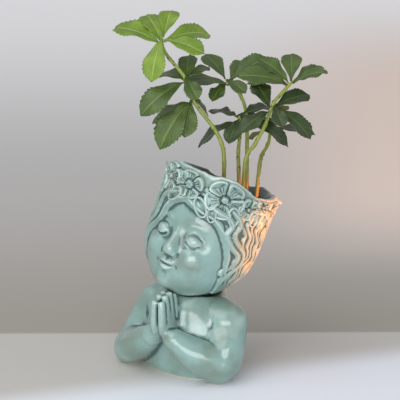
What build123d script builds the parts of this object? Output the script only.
"""Head planter: a glazed ceramic bust of a praying child whose open, tilted head is the pot.

Units are millimetres. +Z is up and the origin is the middle of the bust's footprint on the ground.
The child faces -Y, so its left side is +X. The head leans back and towards its left shoulder.
A leafy plant grows in it, in a ball of soil that lifts out, and a rubber stopper closes its drain.
"""
from build123d import *
import os
from math import cos, degrees, pi, radians, sin

os.makedirs("parts", exist_ok=True)

# Fits and small allowances
seam = 0.12  # slip line between two clay pieces that are luted together
running = 0.4  # gap round anything that slides or lifts out

# Bust: the trunk, its floor and its drain
bust_height = 90.0
bust_width = 104.0
bust_depth = 68.0
bust_wall = 5.0
floor_thickness = 5.0
foot_recess = 1.6
drain_diameter = 14.0

# Rubber stopper in the drain
stopper_flange = 21.0
stopper_flange_thickness = 1.2
stopper_rib = 1.0
stopper_length = 9.0

# Arms and hands
arm_girth = 36.0
hand_length = 41.0
palm_width = 23.0
palm_thickness = 8.6
finger_diameter = 6.4
thumb_diameter = 7.2

# Head, which is the pot
head_height = 106.0
head_width = 100.0
head_depth = 101.0
head_wall = 5.5
head_roll = 15.0
head_pitch = 14.0
head_rise = 31.0
neck_passage = 24.0
rim_dip = 3.0
rim_dip_radius = 11.0
rim_dip_count = 7

# Face, on the proportions of a drawing manual
eye_diameter = 17.0
eye_bulge = 2.6
lid_thickness = 1.1
nose_width = 13.0
nose_height = 8.5
mouth_width = 22.0
lip_thickness = 6.6
cheek_diameter = 30.0
cheek_bulge = 3.2
chin_diameter = 24.0

# Hair
lock_relief = 4.2
back_lock_count = 13
lock_wave = 3.0
lock_waves = 1.6

# Wreath
petal_relief = 3.6
flower_bead = 5.6
wreath_leaf_length = 18.0
wreath_leaf_breadth = 7.6
wreath_leaf_relief = 2.4
bud_diameter = 5.4

# Soil
soil_drop = 16.5
root_ball_depth = 80.0
soil_gap = 1.5  # air between the soil, shrunk a little as it dries, and the pot's wall

# Plant
plant_height = 150.0
stem_diameter = 4.2
leaf_size = 46.0
leaf_breadth = 21.2
blade_thickness = 0.9
blade_bend_radius = 52.0
leaf_gap = 0.7  # from a stem's skin to the leaves that spring from it
leaf_stagger = 1.4  # rise along a stem from each leaf of a whorl to the next


def save(piece, name):
    """Labels a finished piece and writes it as its own file."""
    piece.part.label = name
    export_step(piece.part, f"parts/{name}.step")


def bust_point(x_share, y_share, z_share):
    """A point of the bust, from shares of its half width, half depth and height."""
    return Vector(x_share * bust_width / 2, y_share * bust_depth / 2, z_share * bust_height)


# Trunk levels: height, half width, half depth and setback, as shares of the bust's own sizes
trunk_level_shares = [
    (0.0, 0.95, 0.90, 0.09),
    (0.14, 1.0, 0.98, 0.09),
    (0.42, 0.96, 0.98, 0.13),
    (0.64, 0.86, 0.91, 0.18),
    (0.77, 0.68, 0.82, 0.24),
    (0.87, 0.50, 0.74, 0.34),
    (1.0, 0.44, 0.66, 0.38),
]
foot_middle = bust_point(0, trunk_level_shares[0][3], 0)


def trunk_blank(grow):
    """The trunk's outer form as one solid, grown outwards by a margin."""
    with BuildPart() as blank:
        for height_share, width_share, depth_share, back_share in trunk_level_shares:
            with BuildSketch(Plane.XY.offset(height_share * bust_height)):
                with Locations((0, back_share * bust_depth / 2)):
                    Ellipse(
                        width_share * bust_width / 2 + grow,
                        depth_share * bust_depth / 2 + grow,
                    )
        loft()
    return blank.part


# The head's own frame: its origin is inside the skull and its Z runs up through the open crown
roll, pitch = radians(head_roll), radians(head_pitch)
head_up = Vector(sin(roll) * cos(pitch), sin(pitch), cos(roll) * cos(pitch))
head_left = Vector(cos(roll), 0, -sin(roll))
head_place_share = (0.10, 0.47)
head_middle = Vector(
    head_place_share[0] * bust_width / 2,
    head_place_share[1] * bust_depth / 2,
    bust_height + head_rise,
)
head_plane = Plane(origin=head_middle, x_dir=head_left, z_dir=head_up)

# Head levels: height up from the chin, half width, half depth and setback, as shares of the head
head_level_shares = [
    (-0.025, 0.16, 0.18, -0.38),
    (0.0, 0.36, 0.38, -0.33),
    (0.075, 0.61, 0.63, -0.20),
    (0.21, 0.81, 0.85, -0.10),
    (0.40, 0.92, 0.95, -0.02),
    (0.64, 0.95, 0.96, 0.0),
    (0.83, 0.96, 0.97, 0.0),
    (1.0, 1.01, 1.02, 0.0),
    (1.12, 1.06, 1.07, 0.0),
]
chin_share = 0.47


def head_level(up_share):
    """Height in the head's frame of a share of the way from the chin to the rim."""
    return (up_share - chin_share) * head_height


rim_level = head_level(1)
soil_level = rim_level - soil_drop
ball_bottom_level = soil_level - root_ball_depth


def head_radii(height):
    """Half width, half depth and setback of the head's skin at a height in its own frame."""
    levels = [
        (head_level(up), wide * head_width / 2, deep * head_depth / 2, back * head_depth / 2)
        for up, wide, deep, back in head_level_shares
    ]
    above = next((i for i, level in enumerate(levels) if level[0] >= height), len(levels) - 1)
    low, high = levels[max(above, 1) - 1], levels[max(above, 1)]
    step = (height - low[0]) / (high[0] - low[0])
    return [a + (b - a) * step for a, b in zip(low[1:], high[1:])]


def head_blank(grow):
    """The head's outer form as one solid that runs on past the rim, grown outwards by a margin."""
    with BuildPart() as blank:
        for up_share, width_share, depth_share, back_share in head_level_shares:
            with BuildSketch(head_plane.offset(head_level(up_share))):
                with Locations((0, back_share * head_depth / 2)):
                    Ellipse(
                        width_share * head_width / 2 + grow,
                        depth_share * head_depth / 2 + grow,
                    )
        loft()
    return blank.part


def head_point(x, y, z):
    """A point given in the head's own frame, in the part's frame."""
    return head_middle + head_left * x + head_plane.y_dir * y + head_up * z


def skin_point(bearing, height, lift=0.0):
    """A point on the head's skin. Bearing is in degrees from the face towards its left ear."""
    half_width, half_depth, setback = head_radii(height)
    turn = radians(bearing)
    return head_point(
        (half_width + lift) * sin(turn),
        setback - (half_depth + lift) * cos(turn),
        height,
    )


def skin_plane(bearing, height, lift=0.0):
    """A plane on the head's skin: Z points out of it, X towards the left ear and Y up the head."""
    half_width, half_depth, _ = head_radii(height)
    turn = radians(bearing)
    across = (
        head_left * (half_width * cos(turn)) + head_plane.y_dir * (half_depth * sin(turn))
    ).normalized()
    out = across.cross(head_up)
    return Plane(origin=skin_point(bearing, height, lift), x_dir=across, z_dir=out)


def skin_strand(path, half_widths, half_heights, lift=0.0):
    """A tapering strand along the skin, through (bearing, level) points, as one lofted solid."""
    spots = [skin_plane(bearing, level, lift) for bearing, level in path]
    with BuildPart() as strand:
        for index, spot in enumerate(spots):
            ahead = spots[min(index + 1, len(spots) - 1)].origin
            behind = spots[max(index - 1, 0)].origin
            along = (ahead - behind).normalized()
            out = spot.z_dir - along * spot.z_dir.dot(along)
            with BuildSketch(Plane(origin=spot.origin, x_dir=out, z_dir=along)):
                Ellipse(half_heights[index], half_widths[index])
        loft()
    return strand.part


trunk_form, trunk_hollow, trunk_seat = trunk_blank(0), trunk_blank(-bust_wall), trunk_blank(seam)
head_form, head_hollow, head_seat = head_blank(0), head_blank(-head_wall), head_blank(seam)
floor_form = trunk_blank(-bust_wall - seam)
neck_middle = bust_point(0, trunk_level_shares[-1][3], 1)

# Bust shell: the trunk, hollow as slip casting leaves it, open at the foot and the neck
with BuildPart() as bust_shell:
    add(trunk_form)
    add(trunk_hollow, mode=Mode.SUBTRACT)
    add(head_seat, mode=Mode.SUBTRACT)
    fillet(bust_shell.edges().group_by(Axis.Z)[0].sort_by(SortBy.LENGTH)[-1], foot_recess / 2)
save(bust_shell, "bust_shell")

# Bust floor: the unglazed slab luted inside the foot, with the drain hole through it
with BuildPart() as bust_floor:
    add(floor_form)
    with Locations(foot_middle + Vector(0, 0, foot_recess + floor_thickness / 2)):
        Box(bust_width, bust_depth, floor_thickness, mode=Mode.INTERSECT)
        Cylinder(drain_diameter / 2, bust_height, mode=Mode.SUBTRACT)
save(bust_floor, "bust_floor")

# Drain stopper: a rubber bung with a flange under the floor and a rib that grips above it
with BuildPart() as drain_stopper:
    with BuildSketch(Plane.XZ.offset(-foot_middle.Y)):
        with BuildLine():
            Polyline(
                (0, foot_recess - seam - stopper_flange_thickness),
                (stopper_flange / 2, foot_recess - seam - stopper_flange_thickness),
                (stopper_flange / 2, foot_recess - seam),
                (drain_diameter / 2 - running, foot_recess - seam),
                (drain_diameter / 2 - running, foot_recess + stopper_length - stopper_rib),
                (drain_diameter / 2 - running - stopper_rib, foot_recess + stopper_length),
                (0, foot_recess + stopper_length),
                close=True,
            )
        make_face()
    revolve(axis=Axis(foot_middle, (0, 0, 1)))
save(drain_stopper, "drain_stopper")


def capsule_chain(points, radii, grow):
    """A rounded limb: two lofted lengths, shoulder to elbow to wrist, with ball joints."""
    radii = [radius + grow for radius in radii]
    with BuildPart() as limb:
        for first in (0, 2):
            for index in range(first, first + 3):
                along = points[first + 2] - points[first]
                with BuildSketch(Plane(origin=points[index], z_dir=along)):
                    Circle(radii[index])
            loft()
        for index in (0, 2, 4):
            with Locations(points[index]):
                Sphere(radii[index] * ball_joint_share)
    return limb.part


# Arm points from shoulder to wrist, as shares of the bust, then the girth there as a share
ball_joint_share = 1.04
left_arm_shares = [
    (0.73, 0.18, 0.667, 1.05),
    (0.87, -0.15, 0.42, 0.96),
    (0.95, -0.44, 0.17, 0.93),
    (0.56, -0.90, 0.31, 0.83),
    (0.23, -1.16, 0.45, 0.55),
]
right_arm_shares = [
    (-0.72, 0.14, 0.60, 1.03),
    (-0.90, -0.16, 0.39, 0.93),
    (-1.0, -0.44, 0.17, 0.90),
    (-0.60, -0.90, 0.30, 0.79),
    (-0.23, -1.16, 0.45, 0.55),
]


def arm_blank(arm_shares, grow):
    """An arm's whole form, shoulder to wrist, grown by a margin."""
    points = [bust_point(x, y, z) for x, y, z, _ in arm_shares]
    radii = [girth * arm_girth / 2 for _, _, _, girth in arm_shares]
    return capsule_chain(points, radii, grow)


# Arms: cast apart, luted to the trunk, with elbows cut flat to stand on the ground
arm_shares_by_side = {"left": left_arm_shares, "right": right_arm_shares}
arm_seats = {side: arm_blank(shares, seam) for side, shares in arm_shares_by_side.items()}
for side, shares in arm_shares_by_side.items():
    arm_form = arm_blank(shares, 0)
    middle_side = 1 if side == "left" else -1
    with BuildPart() as arm:
        add(arm_form)
        add(trunk_seat, mode=Mode.SUBTRACT)
        add(head_seat, mode=Mode.SUBTRACT)
        with Locations((0, 0, -bust_height / 2)):
            Box(2 * bust_width, 4 * bust_depth, bust_height, mode=Mode.SUBTRACT)
        with Locations((middle_side * (seam / 2 - bust_width / 2), 0, bust_height / 2)):
            Box(bust_width, 4 * bust_depth, 2 * bust_height, mode=Mode.SUBTRACT)
    save(arm, f"{side}_arm")

# Hands: palm to palm in front of the chest, fingertips up under the chin
wrist_place_share = (0, -1.18, 0.44)
wrist_point = bust_point(*wrist_place_share)
hand_plane = Plane(origin=wrist_point, x_dir=(1, 0, 0), z_dir=(0, 0, 1))
palm_length_share = 0.50
wrist_width_share = 0.74
palm_edge_share = 0.40
knuckle_share = 0.80
palm_length = palm_length_share * hand_length
knuckle_rise = knuckle_share * palm_length
finger_reach_shares = [0.86, 0.96, 1.0, 0.93]
finger_pitch = (palm_width - finger_diameter) / (len(finger_reach_shares) - 1)
thumb_root_share = (0.40, 0.20)
thumb_tip_share = (0.56, 0.60)
with BuildPart() as hand_form:
    for height, width in ((0, wrist_width_share * palm_width), (palm_length, palm_width)):
        with BuildSketch(hand_plane.offset(height)):
            with Locations((palm_thickness / 2, 0)):
                RectangleRounded(palm_thickness, width, palm_edge_share * palm_thickness)
    loft()
    for index, reach_share in enumerate(finger_reach_shares):
        across = index * finger_pitch - (palm_width - finger_diameter) / 2
        reach = reach_share * hand_length - finger_diameter / 2
        with BuildSketch(hand_plane.offset(knuckle_rise)):
            with Locations((finger_diameter / 2, across)):
                Circle(finger_diameter / 2)
        extrude(amount=reach - knuckle_rise)
        with Locations(wrist_point + Vector(finger_diameter / 2, across, reach)):
            Sphere(finger_diameter / 2)
    thumb_root = wrist_point + Vector(
        palm_thickness / 2, thumb_root_share[0] * palm_width, thumb_root_share[1] * hand_length
    )
    thumb_tip = wrist_point + Vector(
        thumb_diameter / 2, thumb_tip_share[0] * palm_width, thumb_tip_share[1] * hand_length
    )
    with BuildSketch(Plane(origin=thumb_root, z_dir=thumb_tip - thumb_root)):
        Circle(thumb_diameter / 2)
    extrude(amount=(thumb_tip - thumb_root).length)
    with Locations(thumb_tip):
        Sphere(thumb_diameter / 2)
for side in ("left", "right"):
    with BuildPart() as hand:
        add(hand_form.part)
        with Locations((-bust_width / 2 + seam / 2, 0, bust_height / 2)):
            Box(bust_width, 4 * bust_depth, 2 * bust_height, mode=Mode.SUBTRACT)
        if side == "right":
            mirror(about=Plane.YZ, mode=Mode.REPLACE)
        add(arm_seats[side], mode=Mode.SUBTRACT)
        add(trunk_seat, mode=Mode.SUBTRACT)
        add(head_seat, mode=Mode.SUBTRACT)
    save(hand, f"{side}_hand")

rim_dip_offset_share = 0.045

# Face features, as bearings from the face's middle line and shares of the head's height
eye_place_share = (20.0, 0.50)
cheek_place_share = (26.0, 0.34)
nose_level_shares = [
    (0.56, 0.30, 0.28),
    (0.45, 0.36, 0.62),
    (0.36, 0.50, 1.0),
    (0.325, 0.36, 0.5),
]
upper_lip_shares = [
    (-1, 0.240, 0.12),
    (-0.5, 0.262, 0.40),
    (0, 0.262, 0.36),
    (0.5, 0.262, 0.40),
    (1, 0.240, 0.12),
]
lower_lip_shares = [
    (-0.9, 0.232, 0.12),
    (-0.45, 0.214, 0.42),
    (0, 0.208, 0.50),
    (0.45, 0.214, 0.42),
    (0.9, 0.232, 0.12),
]
chin_level_share = 0.115


def sunk_ball(bearing, up_share, diameter, bulge):
    """The middle of a ball sunk into the skin so that only its bulge stands out."""
    return skin_point(bearing, head_level(up_share), bulge - diameter / 2)


def lip_form(lip_shares):
    """One lip: a full strand that tapers to the corners of the mouth."""
    half_turn = degrees(mouth_width / head_depth)
    path = [(side * half_turn, head_level(up)) for side, up, _ in lip_shares]
    sizes = [size * lip_thickness for _, _, size in lip_shares]
    return skin_strand(path, sizes, sizes)


lips = [lip_form(upper_lip_shares), lip_form(lower_lip_shares)]

with BuildPart() as pot_hollow_form:
    add(head_hollow)
    split(bisect_by=head_plane.offset(ball_bottom_level), keep=Keep.TOP)
pot_hollow = pot_hollow_form.part

# Head pot: the hollow head, its face, its scalloped rim and the passage down to the bust
with BuildPart() as head_pot:
    add(head_form)
    for level_share, width_share, height_share in nose_level_shares:
        level = head_level(level_share)
        _, half_depth, setback = head_radii(level)
        with BuildSketch(head_plane.offset(level)):
            with Locations((0, setback - half_depth)):
                Ellipse(width_share * nose_width, height_share * nose_height)
    loft()
    with Locations(
        sunk_ball(cheek_place_share[0], cheek_place_share[1], cheek_diameter, cheek_bulge),
        sunk_ball(-cheek_place_share[0], cheek_place_share[1], cheek_diameter, cheek_bulge),
    ):
        Sphere(cheek_diameter / 2)
    with Locations(sunk_ball(0, chin_level_share, chin_diameter, cheek_bulge)):
        Sphere(chin_diameter / 2)
    for bearing in (eye_place_share[0], -eye_place_share[0]):
        with Locations(sunk_ball(bearing, eye_place_share[1], eye_diameter, eye_bulge)):
            Sphere(eye_diameter / 2)
    for lip in lips:
        add(lip)
    split(bisect_by=head_plane.offset(rim_level), keep=Keep.BOTTOM)
    add(pot_hollow, mode=Mode.SUBTRACT)
    with Locations(neck_middle):
        Cylinder(neck_passage / 2, 2 * head_rise, mode=Mode.SUBTRACT)
    for index in range(rim_dip_count):
        bearing = rim_dip_offset_share * 360 + index * 360 / rim_dip_count
        dip = skin_plane(bearing, rim_level)
        with BuildSketch(dip.offset(-head_width / 4)):
            with Locations((0, rim_dip_radius - rim_dip)):
                Circle(rim_dip_radius)
        extrude(amount=head_width / 2, mode=Mode.SUBTRACT)
save(head_pot, "head_pot")


def wave_lock(bearing):
    """One lock of the back hair: a strand that waves from the nape up to the wreath."""
    steps = len(back_lock_level_shares)
    path, wide, tall = [], [], []
    for index, (up_share, size_share) in enumerate(back_lock_level_shares):
        level = head_level(up_share)
        half_width, half_depth, _ = head_radii(level)
        girth = (half_width + half_depth) / 2
        swing = lock_wave * sin(2 * pi * lock_waves * index / (steps - 1))
        path.append((bearing + degrees(swing / girth), level))
        wide.append(radians(back_lock_pitch) * girth / 2 * size_share)
        tall.append(lock_relief * size_share)
    return skin_strand(path, wide, tall, lock_lift_share * lock_relief)


# Back hair: parallel waving locks all round the back, from ear to ear
back_lock_level_shares = [
    (0.17, 0.35),
    (0.26, 0.78),
    (0.38, 0.86),
    (0.50, 0.86),
    (0.62, 0.86),
    (0.70, 0.86),
    (0.76, 0.55),
]
back_lock_start = 105.0
back_lock_end = 299.0
back_lock_pitch = (back_lock_end - back_lock_start) / (back_lock_count - 1)

# Front locks: bearing and level of each point, and the strand's size there, as shares
front_lock_shares = {
    "fringe_lock": [
        (6, 0.745, 0.60),
        (28, 0.690, 0.95),
        (42, 0.610, 1.00),
        (53, 0.500, 0.95),
        (60, 0.390, 0.85),
        (66, 0.280, 0.50),
    ],
    "temple_lock": [
        (38, 0.760, 0.45),
        (48, 0.710, 0.90),
        (58, 0.620, 1.00),
        (67, 0.500, 1.00),
        (75, 0.380, 0.95),
        (78, 0.270, 0.75),
        (75, 0.180, 0.40),
    ],
    "ear_lock": [
        (60, 0.785, 0.45),
        (67, 0.725, 0.90),
        (75, 0.620, 1.00),
        (83, 0.500, 1.00),
        (90, 0.380, 0.95),
        (92, 0.270, 0.80),
        (89, 0.160, 0.40),
    ],
    "right_fringe_lock": [
        (-13, 0.765, 0.40),
        (-23, 0.725, 0.85),
        (-33, 0.650, 1.00),
        (-40, 0.540, 1.00),
        (-45, 0.430, 0.85),
        (-47, 0.330, 0.45),
    ],
}
front_lock_breadth = 10.0
lock_lift_share = 0.20

# Wreath flowers round the rim: bearing, level and size, as shares of the turn and the head
flower_shares = [
    (-0.083, 0.905, 1.00, 5),
    (-0.006, 0.900, 1.00, 6),
    (0.097, 0.895, 1.15, 5),
    (0.172, 0.900, 0.80, 5),
    (0.228, 0.945, 0.62, 5),
    (0.284, 0.930, 0.85, 5),
    (0.352, 0.905, 1.00, 6),
    (0.428, 0.895, 1.05, 5),
    (0.508, 0.905, 1.00, 5),
    (0.588, 0.895, 1.08, 6),
    (0.668, 0.905, 1.00, 5),
    (0.748, 0.895, 1.05, 5),
    (0.833, 0.900, 1.00, 6),
]
petal_length_share = 0.74
petal_width_share = 0.96
petal_top_share = 0.72
flower_heart_share = 0.42
dish_radius_share = 1.7
dish_floor_share = 0.30
flower_planes = [
    skin_plane(bearing_share * 360, head_level(up_share))
    for bearing_share, up_share, _, _ in flower_shares
]


def flower_reach(index):
    """How far a flower's petals reach before they meet the next flower on either side."""
    size = flower_shares[index][2]
    spans = []
    for other in (index - 1, (index + 1) % len(flower_shares)):
        span = (flower_planes[other].origin - flower_planes[index].origin).length
        spans.append((span - seam) * size / (size + flower_shares[other][2]))
    return min(spans) * petal_spread_share


petal_spread_share = 0.97
flower_seats = []
for index, (_, _, _, petal_count) in enumerate(flower_shares):
    reach = flower_reach(index)
    place = flower_planes[index]
    petal_length = petal_length_share * reach
    petal_width = petal_width_share * 2 * pi * (reach - petal_length / 2) / petal_count
    with BuildPart() as petal:
        for lift, spread in ((-petal_relief, 1), (petal_relief, petal_top_share)):
            with BuildSketch(Plane.XY.offset(lift)):
                Ellipse(spread * petal_length / 2, spread * petal_width / 2)
        loft()
    with BuildPart() as flower:
        with Locations(place):
            Cylinder(flower_heart_share * reach, 2 * petal_relief)
            with PolarLocations(reach - petal_length / 2, petal_count):
                add(petal.part)
            with Locations((0, 0, dish_radius_share * reach + petal_relief * dish_floor_share)):
                Sphere(dish_radius_share * reach, mode=Mode.SUBTRACT)
            with Locations((0, 0, petal_relief * dish_floor_share)):
                Sphere(flower_bead / 2)
        add(head_seat, mode=Mode.SUBTRACT)
    save(flower, f"flower_{index + 1:02d}")
    with BuildPart() as flower_seat:
        with Locations(place):
            Cylinder(reach + seam, 4 * petal_relief)
    flower_seats.append(flower_seat.part)

# Wreath leaves tucked under the flowers: bearing, level and heading across the skin in degrees
wreath_leaf_shares = [
    (15.0, 0.825, -50.0),
    (49.0, 0.835, -75.0),
    (-45.0, 0.850, -100.0),
    (115.0, 0.855, -80.0),
    (140.0, 0.850, -100.0),
    (169.0, 0.850, -75.0),
    (197.0, 0.850, -100.0),
    (226.0, 0.850, -75.0),
    (255.0, 0.850, -100.0),
    (285.0, 0.850, -80.0),
]


def leaf_prism(place):
    """A pointed leaf outline drawn on the skin and pushed through it."""
    with BuildPart() as prism:
        with BuildSketch(place.offset(-wreath_leaf_relief)):
            with BuildLine():
                ThreePointArc(
                    (-wreath_leaf_length / 2, 0),
                    (0, wreath_leaf_breadth / 2),
                    (wreath_leaf_length / 2, 0),
                )
                mirror(about=Plane.XZ)
            make_face()
        extrude(amount=2 * wreath_leaf_relief)
    return prism.part


leaf_places = [
    skin_plane(bearing, head_level(up_share)).rotated((0, 0, heading))
    for bearing, up_share, heading in wreath_leaf_shares
]
with BuildPart() as wreath_leaves:
    for place in leaf_places:
        add(leaf_prism(place))
    add(head_seat, mode=Mode.SUBTRACT)
    for flower_seat in flower_seats:
        add(flower_seat, mode=Mode.SUBTRACT)
save(wreath_leaves, "wreath_leaves")

# Wreath buds between flowers, close under the rim
bud_shares = [(16.0, 0.960), (140.0, 0.975), (197.0, 0.975), (255.0, 0.975), (-45.0, 0.975)]
bud_size_shares = [0.35, 1.0, 0.35]
bud_lift_share = 0.17
with BuildPart() as wreath_buds:
    for bearing, up_share in bud_shares:
        bud_path = [
            (bearing, head_level(up_share) + step * bud_diameter / 2) for step in (-1, 0, 1)
        ]
        bud_sizes = [size_share * bud_diameter / 2 for size_share in bud_size_shares]
        add(skin_strand(bud_path, bud_sizes, bud_sizes, bud_lift_share * bud_diameter))
    add(head_seat, mode=Mode.SUBTRACT)
save(wreath_buds, "wreath_buds")


def save_hair(locks, name):
    """Cuts a group of locks to the head under them and writes the group."""
    with BuildPart() as hair:
        for lock in locks:
            add(lock)
        add(head_seat, mode=Mode.SUBTRACT)
    save(hair, name)


for name, lock_points in front_lock_shares.items():
    path = [(bearing, head_level(up_share)) for bearing, up_share, _ in lock_points]
    wide = [size_share * front_lock_breadth / 2 for _, _, size_share in lock_points]
    tall = [size_share * lock_relief for _, _, size_share in lock_points]
    save_hair([skin_strand(path, wide, tall, lock_lift_share * lock_relief)], name)

back_locks = [
    wave_lock(back_lock_start + index * back_lock_pitch)
    for index in range(back_lock_count)
]
third = back_lock_count // 3
save_hair(back_locks[:third], "left_hair")
save_hair(back_locks[third:2 * third], "back_hair")
save_hair(back_locks[2 * third:], "right_hair")


def soil_point(x_share, y_share, z_share):
    """A point of the plant, from shares of its height, measured from the middle of the soil."""
    return soil_middle + Vector(x_share, y_share, z_share) * plant_height


soil_middle = head_point(0, 0, soil_level)

# Root ball: soil and roots that fill the pot up to below the rim, free to lift out
ball_form = head_blank(-head_wall - soil_gap)
with BuildPart() as root_ball:
    add(ball_form)
    split(bisect_by=head_plane.offset(ball_bottom_level + running), keep=Keep.TOP)
    split(bisect_by=head_plane.offset(soil_level), keep=Keep.BOTTOM)
save(root_ball, "root_ball")

# Stems: points up each stem as shares of the plant, from the soil to the last whorl
stem_shares = {
    "tall_stem": [
        (0.033, 0.0, -0.05),
        (0.033, 0.013, 0.217),
        (0.013, 0.013, 0.33),
        (-0.033, -0.007, 0.423),
        (-0.093, -0.047, 0.517),
        (-0.147, -0.073, 0.603),
        (-0.187, -0.087, 0.723),
        (-0.260, -0.135, 0.830),
        (-0.295, -0.155, 0.900),
        (-0.300, -0.147, 0.957),
    ],
    "middle_stem": [
        (0.100, 0.087, -0.10),
        (0.073, 0.113, 0.163),
        (0.053, 0.140, 0.263),
        (0.040, 0.175, 0.370),
        (0.027, 0.187, 0.477),
    ],
    "left_stem": [
        (0.105, 0.160, -0.12),
        (0.073, 0.207, 0.196),
        (0.027, 0.273, 0.443),
        (-0.027, 0.287, 0.583),
        (-0.120, 0.253, 0.683),
    ],
    "right_stem": [
        (0.147, 0.040, -0.10),
        (0.160, 0.050, 0.230),
        (0.213, 0.073, 0.337),
        (0.262, 0.100, 0.450),
        (0.300, 0.130, 0.577),
        (0.330, 0.185, 0.640),
        (0.360, 0.253, 0.703),
    ],
    "rear_stem": [
        (0.165, 0.150, -0.12),
        (0.147, 0.235, 0.170),
        (0.127, 0.300, 0.230),
        (0.133, 0.360, 0.290),
        (0.120, 0.410, 0.400),
    ],
}
stem_taper_share = 0.72


def stem_form(points, root_radius, tip_radius):
    """A stem: round sections lofted along its points, thinner towards the tip."""
    last = len(points) - 1
    with BuildPart() as stem:
        for index, point in enumerate(points):
            along = (points[min(index + 1, last)] - points[max(index - 1, 0)]).normalized()
            across = Vector(0, 1, 0) - along * along.Y
            with BuildSketch(Plane(origin=point, x_dir=across, z_dir=along)):
                Circle(root_radius + (tip_radius - root_radius) * index / last)
        loft(ruled=True)
    return stem.part


for name, points in stem_shares.items():
    stem_points = [soil_point(*point) for point in points]
    with BuildPart() as stem:
        add(stem_form(stem_points, stem_diameter / 2, stem_taper_share * stem_diameter / 2))
        split(bisect_by=head_plane.offset(soil_level + seam), keep=Keep.TOP)
    save(stem, name)


def leaf_form(length_share):
    """A leaf at the origin, pointing along X: a spoon outline on an arching blade."""
    length = length_share * leaf_size
    breadth = length_share * leaf_breadth
    arch_start = leaf_arch_share * length
    arch_middle = (blade_bend_radius ** 2 - arch_start ** 2) ** 0.5
    with BuildPart() as leaf:
        with BuildSketch(Plane.XY.offset(-length)):
            with BuildLine():
                Spline(
                    (0, petiole_breadth / 2),
                    *[(along * length, aside * breadth) for along, aside in leaf_outline_shares],
                    (length, 0),
                )
                mirror(about=Plane.XZ)
                Line((0, petiole_breadth / 2), (0, -petiole_breadth / 2))
            make_face()
        extrude(amount=2 * length)
        with Locations((arch_start, 0, -arch_middle)):
            Cylinder(
                blade_bend_radius + blade_thickness / 2,
                2 * leaf_size,
                rotation=(90, 0, 0),
                mode=Mode.INTERSECT,
            )
            Cylinder(
                blade_bend_radius - blade_thickness / 2,
                2 * leaf_size,
                rotation=(90, 0, 0),
                mode=Mode.SUBTRACT,
            )
    return leaf.part


leaf_arch_share = 0.35
leaf_outline_shares = [(0.30, 0.22), (0.66, 0.50), (0.90, 0.30)]
petiole_breadth = 1.8

# Whorls: stem, which of its points, then each leaf's heading, rise and length as a share
whorl_shares = {
    "crown_whorl": ("tall_stem", 9, [
        (-165, 22, 1.00), (150, 38, 0.85), (60, 12, 0.94),
        (12, -11, 0.78), (-80, -55, 0.82), (105, 50, 0.70),
    ]),
    "upper_whorl": ("tall_stem", 6, [
        (122, 45, 0.68), (-120, -28, 0.98), (165, 8, 0.76), (75, 20, 0.56), (-30, -30, 0.60),
    ]),
    "lower_whorl": ("tall_stem", 5, [
        (-150, -23, 0.82), (-105, -42, 1.04), (-70, -55, 0.72), (80, -38, 0.58),
    ]),
    "left_whorl": ("left_stem", 4, [
        (-120, 11, 0.88), (95, 35, 0.68), (45, 33, 0.84),
        (-88, -28, 0.56), (-15, -18, 0.54), (160, 36, 0.76),
    ]),
    "middle_whorl": ("middle_stem", 4, [
        (-158, -28, 0.90), (25, -21, 0.98), (-80, -38, 0.58), (172, 8, 0.70), (62, 15, 0.62),
    ]),
    "right_whorl": ("right_stem", 4, [
        (-105, -20, 0.74), (150, 40, 0.70), (60, 20, 0.78),
        (8, -31, 0.86), (-40, -30, 0.56), (105, -15, 0.62),
    ]),
    "outer_whorl": ("right_stem", 6, [
        (-130, 17, 0.92), (178, 5, 0.88), (-165, 40, 0.72),
        (5, 24, 0.68), (120, 42, 0.72), (72, 16, 0.80),
    ]),
    "rear_whorl": ("rear_stem", 4, [
        (150, -15, 0.76), (25, 0, 0.80), (-60, 30, 0.56), (-150, 20, 0.62), (90, 10, 0.82),
    ]),
}
for name, (stem_name, stop, leaves) in whorl_shares.items():
    points = [soil_point(*point) for point in stem_shares[stem_name]]
    last = len(points) - 1
    node = points[stop]
    along = (node - points[stop - 1]).normalized()
    girth = stem_diameter / 2 * (1 + (stem_taper_share - 1) * (stop - 1) / last)
    with BuildPart() as whorl:
        for index, (heading, rise, length_share) in enumerate(leaves):
            heading, rise = radians(heading), radians(rise)
            root = node + along * leaf_stagger * (index - len(leaves) + 1)
            chord = Vector(cos(heading) * cos(rise), sin(heading) * cos(rise), sin(rise))
            side = (chord - along * chord.dot(along)).normalized()
            upright = (Vector(0, 0, 1) - chord * chord.Z).normalized()
            with Locations(Plane(root + side * (girth + leaf_gap), x_dir=chord, z_dir=upright)):
                add(leaf_form(length_share))
    save(whorl, name)
